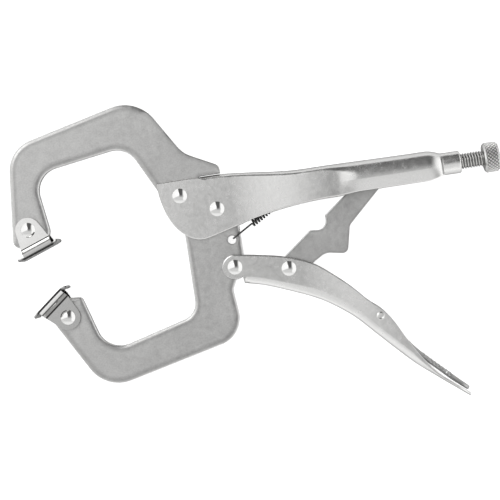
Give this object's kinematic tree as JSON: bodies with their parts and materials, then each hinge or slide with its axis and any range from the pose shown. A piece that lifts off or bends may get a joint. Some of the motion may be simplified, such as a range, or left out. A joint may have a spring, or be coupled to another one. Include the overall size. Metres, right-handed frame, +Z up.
{
  "type": "locking c clamp",
  "caption": "Locking C clamp with toggle handles, two C-shaped plate jaws, swivel pads, release lever and a knurled adjusting screw.",
  "frame": {"origin": "centre of the footprint, on the surface that the clamp lies on with its handles and jaws flat", "axes": "+X along the adjusting screw from the jaws to the knurled knob, +Y from the handle that moves towards the fixed jaw, +Z up, along every pivot"},
  "size_m": [0.2841, 0.1957, 0.019],
  "materials": {
    "handle_steel": "nickel plated, satin gloss",
    "jaw_steel": "nickel plated, fine matt grain",
    "link_steel": "plated, matt",
    "pad_steel": "nickel plated, satin gloss",
    "rivet_steel": "polished",
    "screw_steel": "plated, machined",
    "spring_steel": "dark oiled"
  },
  "bodies": {
    "upper_frame": {"upper_handle": "handle_steel", "upper_jaw": "jaw_steel", "upper_jaw_rivet": "rivet_steel", "main_pivot_rivet": "rivet_steel", "return_spring": "spring_steel"},
    "moving_jaw": {"lower_jaw": "jaw_steel", "handle_rivet": "rivet_steel"},
    "moving_handle": {"lower_handle": "handle_steel", "link_rivet": "rivet_steel", "lever_pin": "rivet_steel"},
    "link": {"toggle_link": "link_steel"},
    "lever": {"release_lever": "handle_steel"},
    "fixed_pad": {"upper_pad": "pad_steel", "upper_pad_rivet": "rivet_steel"},
    "moving_pad": {"lower_pad": "pad_steel", "lower_pad_rivet": "rivet_steel"},
    "screw_slider": {"screw_tip": "screw_steel"},
    "screw": {"adjusting_screw": "screw_steel"}
  },
  "joints": [
    {"name": "jaw_swing", "type": "hinge", "parent": "upper_frame", "child": "moving_jaw", "pos_m": [-0.0229, 0.0299, 0.0095], "axis": [0, 0, 1], "range_deg": [-12.73, 0], "deforming": ["return_spring"]},
    {"name": "handle_squeeze", "type": "hinge", "parent": "moving_jaw", "child": "moving_handle", "pos_m": [-0.0177, -0.0048, 0.0095], "axis": [0, 0, 1], "range_deg": [0, 45.12], "stiffness_Nm_per_rad": 0.2},
    {"name": "toggle_swing", "type": "hinge", "parent": "moving_handle", "child": "link", "pos_m": [0.0128, -0.0101, 0.0095], "axis": [0, 0, 1], "range_deg": [-47.03, 0]},
    {"name": "lever_lift", "type": "hinge", "parent": "moving_handle", "child": "lever", "pos_m": [0.0608, -0.0449, 0.0095], "axis": [0, 0, 1], "range_deg": [0, 8]},
    {"name": "upper_pad_swivel", "type": "hinge", "parent": "upper_frame", "child": "fixed_pad", "pos_m": [-0.1322, 0.034, 0.0095], "axis": [0, 0, -1], "range_deg": [-20, 20]},
    {"name": "lower_pad_swivel", "type": "hinge", "parent": "moving_jaw", "child": "moving_pad", "pos_m": [-0.1169, -0.0189, 0.0095], "axis": [0, 0, -1], "range_deg": [-20, 20]},
    {"name": "screw_travel", "type": "slide", "parent": "upper_frame", "child": "screw_slider", "axis": [1, 0, 0], "range_m": [0, 0.0127]},
    {"name": "screw_turn", "type": "hinge", "parent": "screw_slider", "child": "screw", "pos_m": [0.1371, 0.036, 0.0095], "axis": [1, 0, 0], "range_deg": [0, 2880]}
  ],
  "couplings": [
    {"joint": "jaw_swing", "follows": "handle_squeeze", "ratio": -0.28216},
    {"joint": "toggle_swing", "follows": "handle_squeeze", "ratio": -1.0424},
    {"joint": "screw_turn", "follows": "screw_travel", "rad_per_m": 3957.9}
  ]
}
